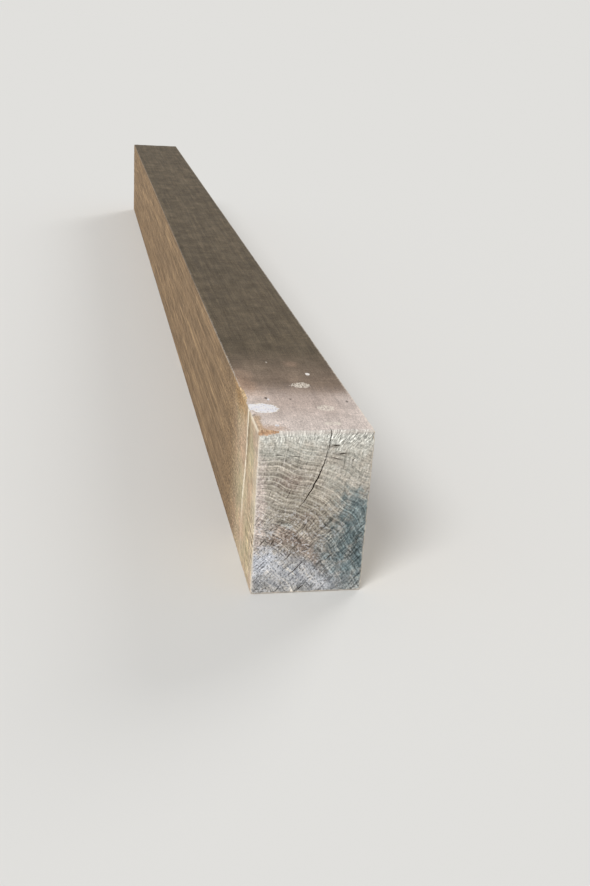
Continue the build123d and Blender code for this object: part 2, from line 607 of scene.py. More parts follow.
def blade(check, size):
    """A thin wedge of the check's shape. Its points start as a unit box: along, across and into."""
    slice_length = 1.2
    slices = max(6, round((Vector(check.head) - Vector(check.foot)).length / slice_length))
    bm = bmesh.new()
    bmesh.ops.create_cube(bm, size=1)
    bmesh.ops.translate(bm, vec=(0.5, 0, 0.5), verts=bm.verts)
    slice_up(bm, Vector((1, 0, 0)), spread(0, 1, 1 / slices))

    end = -size.length / 2
    head = Vector((check.head[0] - size.width / 2, 0, size.height - check.head[1]))
    foot = Vector((check.foot[0] - size.width / 2, 0, size.height - check.foot[1]))
    across = (head - foot).cross(Vector((0, -1, 0))).normalized()
    deep = check.depth > DEEP_CHECK
    wander = 0.6 if deep else 0.35
    shallowest = 9.0 if deep else 2.5
    in_front = 2
    least_mouth = 0.05
    narrowing = 0.8
    for vert in bm.verts:
        along, side, into = vert.co
        place = head.lerp(foot, along) + across * (check.bow * 4 * along * (1 - along))
        place += across * wander * noise.noise(Vector((place.x, place.z, check.mouth)) / 2.6)
        belly = max(0.0, math.sin(math.pi * along**check.low))
        at_head = check.open_head * ramp(along, 0.26, 0.18)
        mouth = check.mouth * max(belly**1.3, at_head) + least_mouth
        place += across * side * mouth * (1 - narrowing * into)
        depth = shallowest + (check.depth - shallowest) * belly**1.5
        place.y = end - in_front + into * (in_front + depth)
        vert.co = place
    bmesh.ops.recalc_face_normals(bm, faces=bm.faces)
    for face in bm.faces:
        face.material_index = SPLIT_WOOD
    return bm


def mesh_of(name, bm):
    """Turns a bmesh in millimetres into a mesh in metres."""
    bmesh.ops.scale(bm, vec=(MM, MM, MM), verts=bm.verts)
    mesh = bpy.data.meshes.new(name)
    bm.to_mesh(mesh)
    bm.free()
    return mesh


def blades(size):
    """One object that holds the wedges of all the checks."""
    together = bmesh.new()
    for check in (main_check(size), *FINE_CHECKS):
        bm = blade(check, size)
        mesh = bpy.data.meshes.new("blade")
        bm.to_mesh(mesh)
        bm.free()
        together.from_mesh(mesh)
        bpy.data.meshes.remove(mesh)
    cutter = bpy.data.objects.new("check_blades", mesh_of("check_blades", together))
    bpy.context.scene.collection.objects.link(cutter)
    return cutter


def is_closed(mesh):
    """Whether a mesh has faces, and two of them at each of its edges."""
    bm = bmesh.new()
    bm.from_mesh(mesh)
    closed = bool(bm.faces) and all(len(edge.link_faces) == 2 for edge in bm.edges)
    bm.free()
    return closed


def split_with(beam, cutter):
    """Takes the blades out of the beam's mesh and removes them."""
    split = beam.modifiers.new("Checks", "BOOLEAN")
    split.operation = "DIFFERENCE"
    split.solver = "EXACT"
    split.object = cutter
    graph = bpy.context.evaluated_depsgraph_get()
    whole = beam.data
    beam.data = bpy.data.meshes.new_from_object(beam.evaluated_get(graph))
    if not is_closed(beam.data):
        raise RuntimeError("cutting the checks left the beam empty or open")
    beam.data.name = whole.name
    beam.modifiers.remove(split)
    bpy.data.meshes.remove(whole)
    blade_mesh = cutter.data
    bpy.data.objects.remove(cutter)
    bpy.data.meshes.remove(blade_mesh)


# The materials

class Value:
    """A number that changes over the surface. It adds and multiplies as a plain number does."""

    def __init__(self, graph, socket):
        self.graph = graph
        self.socket = socket

    def __add__(self, other):
        return self.graph.math("ADD", self, other)

    def __sub__(self, other):
        return self.graph.math("SUBTRACT", self, other)

    def __rsub__(self, other):
        return self.graph.math("SUBTRACT", other, self)

    def __mul__(self, other):
        return self.graph.math("MULTIPLY", self, other)

    def __truediv__(self, other):
        return self.graph.math("DIVIDE", self, other)

    __radd__ = __add__
    __rmul__ = __mul__


class Graph:
    """Adds nodes to one node tree and links them, so that a pattern reads like a sum."""

    def __init__(self, tree):
        self.tree = tree

    def feed(self, socket, value):
        """Links a socket to another, or sets its value."""
        if isinstance(value, Value):
            self.tree.links.new(value.socket, socket)
        elif isinstance(value, bpy.types.NodeSocket):
            self.tree.links.new(value, socket)
        elif socket.type == "RGBA":
            socket.default_value = (*value, 1.0)
        else:
            socket.default_value = value

    def node(self, kind, given, **settings):
        """Adds a node with its settings, and feeds its inputs by name or by number."""
        node = self.tree.nodes.new("ShaderNode" + kind)
        for name, value in settings.items():
            setattr(node, name, value)
        for key, value in given.items():
            self.feed(node.inputs[key], value)
        return node

    def math(self, operation, *values):
        """The outcome of a Math node."""
        return Value(self, self.node("Math", dict(enumerate(values)), operation=operation).outputs[0])

    def parts(self, place):
        """A place's three coordinates."""
        return [Value(self, output) for output in self.node("SeparateXYZ", {0: place}).outputs]

    def join(self, x, y, z):
        """A place from its three coordinates."""
        return self.node("CombineXYZ", {0: x, 1: y, 2: z}).outputs[0]

    def divided(self, place, lengths):
        """A place whose coordinates are divided by three lengths."""
        return self.node("VectorMath", {0: place, 1: lengths}, operation="DIVIDE").outputs[0]

    def ramp(self, value, start, end, least=0.0, most=1.0):
        """least up to start and most from end on, with a soft turn at both."""
        given = {"Value": value, "From Min": start, "From Max": end, "To Min": least, "To Max": most}
        return Value(self, self.node("MapRange", given, interpolation_type="SMOOTHSTEP").outputs[0])

    def between(self, value, start, full, fading, end):
        """0 up to start, 1 from full to fading, and 0 again from end on."""
        return self.ramp(value, start, full) * self.ramp(value, end, fading)

    def noise(self, place, lumps, detail=2.0, rough=0.5):
        """Noise about 0, mostly from -0.5 to 0.5, with lumps so many millimetres long each way."""
        given = {"Vector": self.divided(place, lumps), "Scale": 1.0, "Detail": detail, "Roughness": rough}
        return Value(self, self.node("TexNoise", given).outputs[0]) - 0.5

    def mix(self, share, first, second):
        """The first colour where share is 0 and the second where it is 1."""
        return self.node("Mix", {0: share, 6: first, 7: second}, data_type="RGBA").outputs[2]

    def shaded(self, colour, light):
        """The colour made darker where light is below 0 and lighter where it is above 0."""
        factor = self.math("EXPONENT", light)
        return self.node("VectorMath", {0: colour, "Scale": factor}, operation="SCALE").outputs[0]

    def use(self, group, **values):
        """Places a node group, with its inputs given by name, and returns its outputs by name."""
        node = self.tree.nodes.new("ShaderNodeGroup")
        node.node_tree = group
        for name, given in values.items():
            self.feed(node.inputs[name.replace("_", " ").capitalize()], given)
        return {output.name: Value(self, output) for output in node.outputs}


def new_group(name, inputs, outputs):
    """A shader node group with named sockets: its tree, its graph, its inputs and its output node."""
    tree = bpy.data.node_groups.new(name, "ShaderNodeTree")
    for socket, kind in inputs.items():
        tree.interface.new_socket(socket, in_out="INPUT", socket_type=f"NodeSocket{kind}")
    for socket in outputs:
        tree.interface.new_socket(socket, in_out="OUTPUT", socket_type="NodeSocketFloat")
    graph = Graph(tree)
    sockets = tree.nodes.new("NodeGroupInput").outputs
    given = {name: Value(graph, sockets[name]) if kind == "Float" else sockets[name]
             for name, kind in inputs.items()}
    return tree, graph, given, tree.nodes.new("NodeGroupOutput").inputs


def put_out(graph, result, **values):
    """Feeds the outputs of a node group by name."""
    for name, value in values.items():
        graph.feed(result[name.replace("_", " ").capitalize()], value)


def growth_rings_group(size):
    """Rings, pores and rays of a tree whose heart lies along Y, for a place in millimetres."""
    tree, g, given, result = new_group(
        "Growth rings", {"Place": "Vector", "Ring width": "Float", "Waver": "Float"},
        ("Late wood", "Pores", "Along rings", "Along rays", "Hair checks", "Arc", "Outwards"))
    place = given["Place"]
    x, y, z = g.parts(place)
    from_end = g.ramp(y, -size.length / 2, -size.length / 2 + 300.0)
    across = x + g.noise(place, (400.0, 500.0, 400.0), detail=1.0) * from_end * 40.0
    arc, outwards = ring_places(
        across, z, lambda value: g.math("SINE", value), lambda value: g.math("SQRT", value),
        g.ramp(z, 0.0, FLUTES_FULL_UP, FLUTES_LOW_SHARE, 1.0))
    outwards = outwards + g.noise(place, (9.0, 90.0, 9.0), detail=2.0) * given["Waver"]
    part = g.math("FRACT", outwards / given["Ring width"] + KNEE_YEAR)

    # The late wood is the last part of a year, and the open pores are in its first part
    patchy = g.ramp(g.noise(place, (10.0, 60.0, 10.0), detail=3.0), -0.16, 0.08, 0.5, 1.0)
    late = g.between(part, 0.62, 0.78, 0.88, 1.0) * patchy
    early = g.between(part, 0.0, 0.06, 0.24, 0.50)
    dots = g.noise(place, (1.3, 16.0, 1.3), detail=1.0)

    # These patterns lie along the rings or along the rays that cross them
    on_rings = g.join(arc, y, outwards)
    along_rings = g.noise(on_rings, (26.0, 30.0, 1.15), detail=2.0, rough=0.6)
    along_rings = along_rings + g.noise(on_rings, (60.0, 90.0, 7.0), detail=1.0) * 0.6
    along_rays = g.noise(on_rings, (2.0, 30.0, 9.0), detail=2.0, rough=0.6)
    splits = g.noise(on_rings, (1.6, 24.0, 11.0), detail=1.0)
    put_out(g, result, late_wood=late, pores=early * g.ramp(dots, -0.02, 0.10), along_rings=along_rings,
            along_rays=along_rays, hair_checks=g.ramp(splits, 0.13, 0.18), arc=arc, outwards=outwards)
    return tree


def long_grain_group():
    """Fibres, streaks and cloudy patches of wood that runs along Y."""
    tree, g, given, result = new_group("Long grain", {"Place": "Vector"}, ("Streaks", "Fibres", "Clouds"))
    place = given["Place"]
    put_out(g, result, streaks=g.noise(place, (3.6, 120.0, 3.6), detail=4.0, rough=0.65),
            fibres=g.noise(place, (0.9, 20.0, 0.9), detail=3.0, rough=0.7),
            clouds=g.noise(place, (13.0, 26.0, 13.0), detail=5.0, rough=0.68))
    return tree


def patch_group():
    """A soft-edged patch with a ragged outline round a centre: 1 inside it and 0 outside."""
    tree, g, given, result = new_group(
        "Patch", {"Place": "Vector", "Centre": "Vector", "Reach": "Vector", "Lumps": "Float",
                  "Ragged": "Float", "Softness": "Float"}, ("Mask",))
    place, lumps = given["Place"], given["Lumps"]
    apart = g.node("VectorMath", {0: place, 1: given["Centre"]}, operation="SUBTRACT").outputs[0]
    away = g.node("VectorMath", {0: g.divided(apart, given["Reach"])}, operation="LENGTH").outputs[1]
    uneven = g.noise(place, g.join(lumps, lumps, lumps), detail=4.0, rough=0.6) * given["Ragged"]
    outside = given["Softness"] + 1.0
    put_out(g, result, mask=g.ramp(uneven + Value(g, away), outside, 1.0 - given["Softness"]))
    return tree


def arris_group(size):
    """How near a place is to an arris, and how deep it lies inside the beam, in millimetres."""
    tree, g, given, result = new_group("Arris", {"Place": "Vector", "Reach": "Float"}, ("Nearness", "Depth"))
    x, y, z = g.parts(given["Place"])
    from_side = size.width / 2 - g.math("ABSOLUTE", x)
    from_end = size.length / 2 - g.math("ABSOLUTE", y)
    from_face = g.math("MINIMUM", z, size.height - z)

    # On an arris two of the three are small, so the second smallest tells how near it is
    least = g.math("MINIMUM", from_side, from_end)
    most = g.math("MAXIMUM", from_side, from_end)
    second = g.math("MAXIMUM", least, g.math("MINIMUM", most, from_face))
    uneven = g.noise(given["Place"], (4.0, 4.0, 4.0), detail=3.0) * 2.6
    nearness = g.ramp(second + uneven, given["Reach"], 0.5)
    put_out(g, result, nearness=nearness, depth=g.math("MINIMUM", least, from_face))
    return tree


def frayed_fibres_group(size):
    """The torn fibres along the weathered end's top edge: how far they cover it, and their strokes."""
    tree, g, given, result = new_group("Frayed fibres", {"Place": "Vector"}, ("Cover", "Strokes"))
    place = given["Place"]
    x, y, z = g.parts(place)
    below = size.height - z
    behind = g.math("MAXIMUM", y + size.length / 2 - 1.0, 0.0)
    coarse = g.ramp(x, FRAY_TURNS_FROM, FRAY_TURNS_TO)
    edge = below + behind * 4.0 + g.noise(place, (5.0, 9.0, 30.0), detail=3.0) * 26.0
    cover = g.ramp(edge / (coarse * 0.5 + 0.9), size.frayed_band + 4.0, size.frayed_band - 7.0)
    lean = coarse * (FRAY_LEAN_RIGHT - FRAY_LEAN_LEFT) + FRAY_LEAN_LEFT
    unslanted = g.join(x + lean * below, 0.0, below + behind)
    fine = g.noise(unslanted, (1.1, 3.0, 5.0), detail=2.0, rough=0.6)
    bold = g.noise(unslanted, (1.8, 3.0, 4.2), detail=3.0, rough=0.65)
    put_out(g, result, cover=cover, strokes=fine * (0.75 - coarse * 0.25) + bold * coarse * 1.4)
    return tree


class Kit:
    """The node groups that the finishes share."""

    def __init__(self, size):
        self.rings = growth_rings_group(size)
        self.grain = long_grain_group()
        self.patch = patch_group()
        self.arris = arris_group(size)
        self.fray = frayed_fibres_group(size)


def new_material(name):
    """A new material and its shader node."""
    material = bpy.data.materials.new(name)
    material.use_nodes = True
    return material, next(node for node in material.node_tree.nodes if node.type == "BSDF_PRINCIPLED")


class Finish(Graph):
    """The nodes of one finish of the beam, with the place on the beam in millimetres."""

    def __init__(self, name, kit, size, colours):
        self.material, self.shader = new_material(name)
        super().__init__(self.material.node_tree)
        self.kit = kit
        self.size = size
        self.colours = colours
        self.place = self.divided(self.node("TexCoord", {}).outputs["Object"], (MM, MM, MM))

    @cached_property
    def coordinates(self):
        """The place across, along and up."""
        return self.parts(self.place)

    @cached_property
    def behind(self):
        """How far behind the weathered end the place is."""
        return self.coordinates[1] + self.size.length / 2

    @cached_property
    def on_left(self):
        """1 on the left of the beam and 0 on the right."""
        return self.ramp(self.coordinates[0], 1.0, -1.0)

    def pattern(self, lumps, detail=2.0, rough=0.5):
        """Noise over the beam, with lumps so many millimetres long each way."""
        return self.noise(self.place, lumps, detail, rough)

    def grain(self):
        """The fibres, streaks and clouds of the long grain."""
        return self.use(self.kit.grain, place=self.place)

    def rings(self, waver):
        """The growth rings and the rays. waver is how unevenly the rings run."""
        return self.use(self.kit.rings, place=self.place, ring_width=self.size.ring_width, waver=waver)

    def fray(self):
        """The torn fibres at the weathered end's top edge."""
        return self.use(self.kit.fray, place=self.place)

    def near_arris(self, reach):
        """1 on an arris and 0 from about reach away from it."""
        return self.use(self.kit.arris, place=self.place, reach=reach)["Nearness"]

    def patch(self, centre, reach, lumps, ragged, softness):
        """A ragged patch round a centre, as a mask."""
        return self.use(self.kit.patch, place=self.place, centre=centre, reach=reach, lumps=lumps,
                        ragged=ragged, softness=softness)["Mask"]

    def on_top(self, across, behind):
        """The place on the top so far across from its left edge and so far behind the weathered end."""
        return across - self.size.width / 2, behind - self.size.length / 2, self.size.height

    def dullness(self, uneven, hollows, heights):
        """How rough the wood is: one value where the uneven pattern is low and another where it is high."""
        return self.ramp(uneven, -0.2, 0.2, hollows, heights)

    def finished(self, colour, rough, height, relief):
        """The material. relief is how many millimetres a height of 1 stands for."""
        self.feed(self.shader.inputs["Base Color"], colour)
        self.feed(self.shader.inputs["Roughness"], rough)
        self.shader.inputs["Specular IOR Level"].default_value = 0.25
        bump = self.node("Bump", {"Strength": 1.0, "Distance": relief * MM, "Height": height})
        self.feed(self.shader.inputs["Normal"], bump.outputs[0])
        return self.material


# The long arrises are pale with wear and a painted highlight. They are palest up to the first of these places
# behind the weathered end, and less pale from the second on
PALE_UP_TO = 36.0
PALE_ENDS = 50.0


def bared_arris_and_highlight(g, behind):
    """1 beside the torn corner, where the long arrises are palest with wear and painted highlight, and 0
    further back.
    """
    return g.ramp(behind, PALE_ENDS, PALE_UP_TO)


def arris_wear_and_highlight(g, behind):
    """How pale the long arrises are with wear and painted highlight."""
    return g.ramp(behind, 420.0, 60.0, 0.15, 0.5) + bared_arris_and_highlight(g, behind) * 0.35


# Stains in the weathered end: the colour, the middle across and down from the top left corner, how far
# they reach across and down, and how strong they are
END_STAINS = (
    ("hoary", 45.0, 140.0, 66.0, 27.0, 0.9),
    ("shaded", 48.0, 70.0, 26.0, 33.0, 0.95),
    ("shaded", 18.0, 36.0, 22.0, 15.0, 0.3),
    ("shaded", 19.0, 57.0, 13.0, 9.0, 0.5),
    ("hoary", 10.0, 91.0, 10.0, 7.0, 0.7),
    ("fray", 28.0, 85.2, 4.5, 1.8, 0.9),
    ("washed", 20.0, 17.0, 36.0, 9.0, 0.9),
    ("washed", 84.0, 34.0, 20.0, 16.0, 0.5),
    ("washed", 63.0, 44.0, 6.0, 12.0, 0.5),
    ("washed", 80.0, 19.0, 13.0, 6.0, 0.8),
    ("shaded", 22.0, 31.0, 10.0, 6.0, 0.6),
    ("ruddy", 31.0, 45.0, 12.0, 7.0, 0.8),
    ("ruddy", 50.0, 104.0, 20.0, 14.0, 0.5),
    ("ruddy", 23.0, 95.5, 12.0, 7.0, 0.9),
    ("ruddy", 44.0, 79.0, 10.0, 7.0, 0.5),
    ("blushed", 2.0, 74.0, 6.0, 40.0, 1.1),
    ("frosted", 8.0, 119.5, 12.5, 11.0, 1.1),
    ("frosted", 36.0, 129.0, 26.0, 11.0, 0.45),
    ("frosted", 62.0, 141.0, 12.0, 7.0, 0.6),
)

# The damp stains lie over the grain and dim it. They are given in the same way, without the colour.
DAMP_STAINS = (
    (88.0, 65.0, 14.0, 8.0, 0.75),
    (91.0, 84.0, 20.0, 24.0, 0.88),
    (71.0, 106.0, 14.0, 17.0, 0.65),
    (87.0, 108.0, 16.0, 14.0, 0.35),
    (92.0, 124.0, 15.0, 14.0, 0.9),
    (68.0, 125.0, 10.0, 10.0, 0.4),
    (89.0, 144.0, 15.0, 9.0, 0.5),
)

# Dark grime round the short cracks under the frayed band, given in the same way
GRIME = (
    (63.0, 13.4, 6.5, 2.0, 1.0),
    (71.0, 20.6, 6.0, 1.8, 0.7),
)

# Single rings that stand out on the end, pale where they are stronger than 0 and dark where they are less:
# how far outwards they lie, half their width, from and to how far along them, and how strong they are
BOLD_RINGS = (
    (-14.8, 0.8, 30.0, 66.0, 0.22),
    (-10.8, 1.4, 12.0, 100.0, -0.20),
    (-8.6, 0.7, 60.0, 110.0, 0.20),
    (0.3, 1.2, 10.0, 90.0, -0.16),
    (5.2, 1.0, 18.0, 48.0, -0.14),
    (10.0, 1.0, 12.0, 55.0, -0.12),
    (26.5, 0.8, 48.0, 90.0, 0.22),
    (33.8, 1.0, 48.0, 80.0, -0.22),
)

# How far the bold rings fade in and out along their length
BOLD_RINGS_FADE = 5.0


def bold_rings(g, wood):
    """How much lighter or darker the rings that stand out make the end."""
    fade = BOLD_RINGS_FADE
    light = 0.0
    for at, half, start, end, strength in BOLD_RINGS:
        on_ring = g.ramp(g.math("ABSOLUTE", wood["Outwards"] - at), half, half * 0.4)
        within = g.between(wood["Arc"], start - fade, start + fade, end - fade, end + fade)
        light = light + on_ring * within * strength
    return light


def stain_on_end(g, strokes, across, down, wide, tall, strength):
    """How far a stain colours the end. Its edge follows the strokes of the grain."""
    size = g.size
    centre = (across - size.width / 2, -size.length / 2, size.height - down)
    patch = g.patch(centre, (wide, size.length, tall), 7.0, 2.4, 0.7)
    share = g.math("MINIMUM", patch * (strokes * -1.6 + strength), 1.0)
    return g.math("MAXIMUM", share, 0.0)


def weathered_end(kit, size, colours):
    """Silvered end grain with stains, a frayed top and worn edges."""
    g = Finish("weathered_end_grain", kit, size, colours)
    x, _, z = g.coordinates
    wood = g.rings(1.6)
    mottle = g.pattern((6.0, 9.0, 6.0), detail=2.0, rough=0.7)
    specks = g.pattern((1.7, 4.0, 1.7), detail=1.0, rough=0.6)
    pits = g.ramp(g.pattern((1.5, 4.0, 1.5), detail=0.0), 0.15, 0.22)
    strokes = wood["Along rings"] + wood["Along rays"]

    colour = colours.silver
    for stain, *where in END_STAINS:
        share = stain_on_end(g, strokes, *where)
        colour = g.mix(share, colour, getattr(colours, stain))
    heartwood = g.between(wood["Outwards"], -17.0, -13.5, -9.5, -6.5)
    heartwood = heartwood * g.ramp(wood["Arc"], 0.0, 14.0) * g.ramp(wood["Arc"], 112.0, 75.0)
    colour = g.mix(heartwood * 0.7, colour, colours.ruddy)

    # The rings show least at the head and at the foot of the end, and the rays show most at its foot
    ringed = g.ramp(z, 45.0, 85.0, 0.12, 1.0) * g.ramp(z, 138.0, 118.0, 0.35, 1.0)
    ringed = ringed * (1.0 - g.ramp(x, 5.0, 25.0) * g.ramp(z, 88.0, 104.0) * 0.5)
    low = g.ramp(z, 95.0, 55.0)
    hatched = low * 0.65 + 0.35
    light = wood["Late wood"] * ringed * 0.30 - wood["Pores"] * (ringed * 0.6 + 0.4) * 0.19
    light = light + wood["Along rings"] * (low * 0.7 + 1.4)
    light = light + wood["Along rays"] * hatched * (low * 0.4 + 1.5)
    light = light + mottle * (0.9 - low * 0.3) + specks * 1.5 + bold_rings(g, wood)
    light = light - wood["Hair checks"] * hatched * 0.7 - pits * low * 0.9
    colour = g.shaded(colour, light)
    colour = g.mix(wood["Late wood"] * ringed * 0.45, colour, colours.late)
    colour = g.mix(g.ramp(specks + mottle, 0.06, 0.20) * (low * 0.5 + 0.2), colour, colours.flecks)

    for where in DAMP_STAINS:
        share = stain_on_end(g, strokes * 0.4, *where)
        colour = g.mix(share, colour, g.shaded(colours.damp, light * 1.1))

    # The torn fibres are darker on the right, apart from their tips, and the tips fade into the top
    fray = g.fray()
    tips = g.ramp(z, size.height - 20.0, size.height - 7.0, -0.18, 0.08)
    fibres = g.shaded(colours.fray, fray["Strokes"] * 3.7 + specks - g.ramp(x, 10.0, 38.0) * tips)
    colour = g.mix(fray["Cover"] * 0.9, colour, fibres)
    colour = g.mix(g.ramp(z, size.height - 4.5, size.height - 1.2) * 0.55, colour, colours.bleached)
    for where in GRIME:
        share = stain_on_end(g, strokes * 0.4, *where)
        colour = g.mix(share * 0.6, colour, colours.split)
    # The end's arrises get pale wear and a painted highlight
    pale_wear_and_highlight = g.near_arris(2.4)
    colour = g.mix(pale_wear_and_highlight * (0.85 - fray["Cover"] * 0.55), colour, colours.pale_wear_and_highlight)

    height = wood["Late wood"] * 0.5 - wood["Pores"] * 0.7 - wood["Hair checks"] - pits * low + mottle * 0.8
    height = height + strokes * 1.4 + specks * 0.6 + fray["Strokes"] * fray["Cover"] * 4.0
    return g.finished(colour, g.dullness(mottle, 0.96, 0.86), height, 0.4)


# White droppings on the top: the middle across from the left edge and behind the weathered end, how far
# they reach both ways, and how strong they are
DROPPINGS = (
    (13.5, 54.5, 13.0, 12.0, 1.00),
    (5.5, 57.0, 7.0, 9.5, 1.00),
    (57.0, 112.5, 9.8, 7.6, 0.62),
    (69.7, 143.5, 2.2, 3.8, 0.95),
    (67.5, 54.0, 7.8, 7.4, 0.60),
    (65.5, 17.8, 8.4, 4.6, 0.58),
    (17.8, 14.6, 1.9, 2.6, 1.00),
    (36.4, 179.0, 1.0, 2.0, 0.60),
    (20.9, 76.4, 1.1, 2.2, 1.00),
)

# Holes and dents on the top, dark with painted shade, given in the same way
HOLES = (
    (19.4, 79.8, 1.2, 2.3, 0.85),
    (40.5, 76.0, 0.9, 2.2, 0.60),
    (90.0, 70.0, 1.1, 2.2, 0.70),
    (2.4, 39.5, 2.4, 1.2, 0.50),
)


def marks_on_top(g, marks, lumps, ragged, softness):
    """Where a list of marks lies on the top face, as one mask."""
    mask = 0.0
    for across, behind, wide, deep, strength in marks:
        reach = (wide, deep, g.size.height)
        patch = g.patch(g.on_top(across, behind), reach, lumps, ragged, softness)
        mask = g.math("MAXIMUM", mask, patch * strength)
    return mask


def bleached_top(g, grain):
    """The tones of the top: bleached, greyed, sheltered, then browner wood with painted shade, in turn, with
    reddish patches.
    """
    size, colours, behind = g.size, g.colours, g.behind
    x = g.coordinates[0]
    reach = size.weather_reach
    colour = g.mix(g.ramp(behind, 5.0, reach - 20.0), colours.bleached, colours.greyed)
    ragged = behind + grain["Clouds"] * 40.0 + x * 0.12
    colour = g.mix(g.ramp(ragged, reach - 22.0, reach + 28.0), colour, colours.sheltered)
    # Further back the top turns to browner wood with painted shade
    colour = g.mix(g.ramp(ragged, reach + 10.0, reach + 140.0), colour, colours.brown_and_painted_shade)

    beside_bruise = g.on_top(3.0, size.bruise_start + 42.0)
    flushed = g.patch(beside_bruise, (13.0, 42.0, size.height), 9.0, 1.2, 0.6)
    # The reddish patch beside the bruise gets painted shade further back
    flushed_with_painted_shade = g.shaded(colours.flushed, g.ramp(behind, 116.0, 152.0, 0.0, -0.38))
    colour = g.mix(flushed * 0.7, colour, flushed_with_painted_shade)
    figure_at = g.on_top(size.width / 2 + 10.0, 174.0)
    figure = g.patch(figure_at, (6.0, 8.0, size.height), 5.0, 2.4, 0.7)
    colour = g.mix(figure * 0.3, colour, colours.flushed)
    edge = g.ramp(g.math("ABSOLUTE", x), 20.0, 46.0) * g.ramp(ragged, reach + 10.0, reach - 20.0)
    return g.mix(edge * 0.7, colour, colours.bleached)


def torn_top(g, grain, colour, light):
    """Adds the wood that is bared and stained round the torn corner to the top's colour."""
    size, colours, behind = g.size, g.colours, g.behind
    from_left = g.coordinates[0] + size.width / 2
    bared = g.ramp(from_left + grain["Clouds"] * 12.0, 8.0, 4.5)
    bared = bared * g.ramp(behind + grain["Clouds"] * 20.0, 46.0, 32.0)
    colour = g.mix(bared * 0.9, colour, g.shaded(colours.bared, light + grain["Fibres"] * 1.2 - 0.05))
    behind_tear = g.on_top(size.torn_across * 0.5, size.torn_back)
    stained = g.patch(behind_tear, (10.0, 7.0, size.height), 3.0, 2.6, 0.6)
    return g.mix(stained * 0.5, colour, colours.fresh)


def white_droppings(g, marks):
    """The droppings where marks are: their mask, their share of the top's colour, and their own colour."""
    colours = g.colours
    speckle = g.pattern((1.2, 3.0, 1.2), detail=2.0, rough=0.6)
    spots = g.ramp(marks + speckle * 2.0, 0.30, 0.80) * g.ramp(marks, 0.02, 0.10)
    spots = spots * g.ramp(speckle, -0.15, -0.10, 0.45, 1.0)
    thin = g.ramp(g.pattern((3.4, 6.0, 3.4), detail=2.0), -0.10, 0.12)
    white = g.mix(thin * 0.45, colours.dropping, colours.thin_dropping)
    white = g.mix(g.ramp(marks, 0.90, 0.99), colours.pale_wear_and_highlight, white)
    white = g.mix(g.ramp(speckle, -0.13, -0.24) * 0.6, white, colours.damp)
    return spots, spots * g.ramp(marks, 0.3, 0.9, 0.6, 1.0), white


def weathered_top(kit, size, colours):
    """The top face: bleached near the end, browner where it was sheltered, with spots and holes."""
    g = Finish("weathered_top", kit, size, colours)
    grain = g.grain()
    wood = g.rings(3.0)
    x, behind = g.coordinates[0], g.behind

    specks = g.pattern((1.3, 3.0, 1.3), detail=2.0, rough=0.7)
    crossed = g.pattern((22.0, 4.2, 22.0), detail=3.0, rough=0.6)
    drifts = g.pattern((24.0, 30.0, 24.0), detail=4.0, rough=0.6)
    light = grain["Streaks"] * g.ramp(behind, 130.0, 320.0, 0.35, 1.5) + grain["Fibres"] * 0.45
    light = light + grain["Clouds"] * 1.1 + specks * g.ramp(behind, 60.0, 0.0, 1.1, 1.5)
    light = light + crossed * g.ramp(behind, 60.0, 130.0, 0.2, 0.5)
    light = light + drifts * g.ramp(behind, 70.0, 120.0, 0.2, 0.9)
    colour = bleached_top(g, grain)
    colour = g.shaded(colour, light - wood["Pores"] * 0.06)
    colour = torn_top(g, grain, colour, light)

    fray = g.fray()
    colour = g.mix(fray["Cover"] * 0.45, colour, g.shaded(colours.fray, fray["Strokes"] * 4.0))
    holes = marks_on_top(g, HOLES, 2.0, 0.4, 0.45)
    # Painted shade in the holes
    colour = g.mix(holes, colour, colours.deep)
    marks = marks_on_top(g, DROPPINGS, 4.0, 0.7, 0.13)
    spots, share, white = white_droppings(g, marks)
    colour = g.mix(share, colour, white)
    # The top's arrises get pale wear and a painted highlight, more on the right
    on_right = g.ramp(x, 0.0, 30.0)
    pale_wear_and_highlight = g.near_arris(on_right + 2.0)
    pale_wear_and_highlight = pale_wear_and_highlight * (arris_wear_and_highlight(g, behind) + on_right * 0.3 - bared_arris_and_highlight(g, behind) * 0.3)
    colour = g.mix(pale_wear_and_highlight, colour, colours.pale_wear_and_highlight)

    height = grain["Fibres"] * 1.5 + grain["Streaks"] * 1.5 + grain["Clouds"] + specks
    height = height + spots * 0.8 - holes * 1.5 + fray["Strokes"] * fray["Cover"] * 4.0
    return g.finished(colour, g.dullness(grain["Clouds"], 0.92, 0.82), height, 0.4)


# Splinters low down at the weathered end of the left side: how far they rise for each millimetre back
SPLINTER_RISE = 0.42


def side_tones(g, grain, drift):
    """The tones of the sides: buff near the end and tan with painted shade further back, golden below the
    bruise.
    """
    size, colours, behind, on_left = g.size, g.colours, g.behind, g.on_left
    colour = g.mix(g.ramp(drift, 0.0, 0.12) * 0.6, colours.buff, colours.rosy)
    colour = g.mix(g.ramp(drift, 0.0, -0.12) * 0.6, colour, colours.olive)
    streaked = behind + grain["Clouds"] * 40.0 + grain["Streaks"] * (1.0 - on_left) * 260.0
    # Further back the sides turn tan, darker with painted shade
    colour = g.mix(g.ramp(streaked, 56.0, 155.0), colour, colours.tan)
    colour = g.mix(g.ramp(behind, 26.0, 6.0) * 0.3, colour, colours.pale_wear_and_highlight)
    colour = g.mix(g.ramp(grain["Streaks"], 0.02, 0.16, 0.0, 0.25), colour, colours.ochre_streaks_and_shade)
    under_bruise = g.on_top(0.0, size.bruise_start + 34.0)
    golden = g.patch(under_bruise, (size.width, 40.0, 19.0), 9.0, 1.6, 0.6)
    return g.mix(golden * on_left * 0.9, colour, colours.golden)


